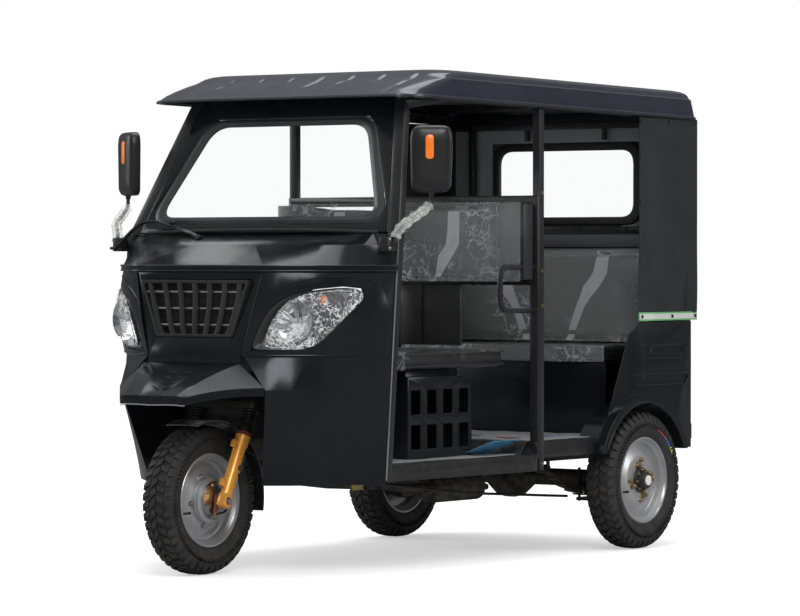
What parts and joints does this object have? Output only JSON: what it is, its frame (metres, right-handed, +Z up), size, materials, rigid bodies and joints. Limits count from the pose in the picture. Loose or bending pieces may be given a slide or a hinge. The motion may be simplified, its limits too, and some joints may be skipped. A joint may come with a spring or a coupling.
{
  "type": "auto rickshaw",
  "caption": "Enclosed three-wheeled passenger taxi with a single steered front wheel, faceted nose, moulded roof, open sides and a rear bench.",
  "frame": {"origin": "on the ground under the middle of the vehicle's length and width", "axes": "+X to the vehicle's left, +Y to its rear, +Z up"},
  "size_m": [1.5876, 2.8, 1.8598],
  "materials": {
    "body_paint": "gloss",
    "roof_plastic": "gloss",
    "black_metal": "satin",
    "chassis_paint": "satin",
    "tyre": "matte",
    "rim": "satin",
    "gold_leg": "gloss",
    "glass": "gloss",
    "lamp": "gloss",
    "red_lens": "gloss",
    "black_plastic": "satin",
    "seat": "gloss",
    "curtain": "matte",
    "engine": "satin",
    "floor": "satin"
  },
  "bodies": {
    "body": {"beak_mudguard": "body_paint", "bench_backrest": "seat", "bench_base": "body_paint", "bench_cushion": "seat", "chassis_frame": "chassis_paint", "cheek_left": "body_paint", "cheek_right": "body_paint", "dashboard": "black_plastic", "driver_backrest": "seat", "driver_cushion": "seat", "driver_seat_base": "body_paint", "engine": "engine", "floor_pan": "floor", "grille": "black_plastic", "headlamp_left": "lamp", "headlamp_right": "lamp", "mirror_left": "black_plastic", "mirror_right": "black_plastic", "nose_panel": "body_paint", "partition_frame": "chassis_paint", "quarter_panel_left": "body_paint", "quarter_panel_right": "body_paint", "rear_axle": "chassis_paint", "rear_bumper": "chassis_paint", "rear_wall": "body_paint", "rear_window": "glass", "roof": "roof_plastic", "scuttle": "black_metal", "side_curtain_left": "curtain", "side_curtain_right": "curtain", "side_frame_left": "body_paint", "side_frame_right": "body_paint", "tail_lamp_left": "red_lens", "tail_lamp_right": "red_lens", "windscreen_frame": "body_paint", "windscreen_glass": "glass"},
    "steering": {"fork": "chassis_paint", "fork_sliders": "gold_leg", "front_fender": "chassis_paint", "handlebar": "black_plastic"},
    "front_wheel": {"front_tyre": "tyre", "front_rim": "rim"},
    "rear_wheel_left": {"rear_tyre_left": "tyre", "rear_rim_left": "rim"},
    "rear_wheel_right": {"rear_tyre_right": "tyre", "rear_rim_right": "rim"}
  },
  "joints": [
    {"name": "steering_turn", "type": "hinge", "parent": "body", "child": "steering", "pos_m": [0, -1.075, 0.2725], "axis": [0, 0.4384, 0.8988], "range_deg": [-35, 35]},
    {"name": "front_wheel_spin", "type": "hinge", "parent": "steering", "child": "front_wheel", "pos_m": [0, -1.12, 0.2725], "axis": [1, 0, 0], "continuous": true},
    {"name": "rear_wheel_left_spin", "type": "hinge", "parent": "body", "child": "rear_wheel_left", "pos_m": [0.583, 0.916, 0.2725], "axis": [1, 0, 0], "continuous": true},
    {"name": "rear_wheel_right_spin", "type": "hinge", "parent": "body", "child": "rear_wheel_right", "pos_m": [-0.583, 0.916, 0.2725], "axis": [1, 0, 0], "continuous": true}
  ]
}
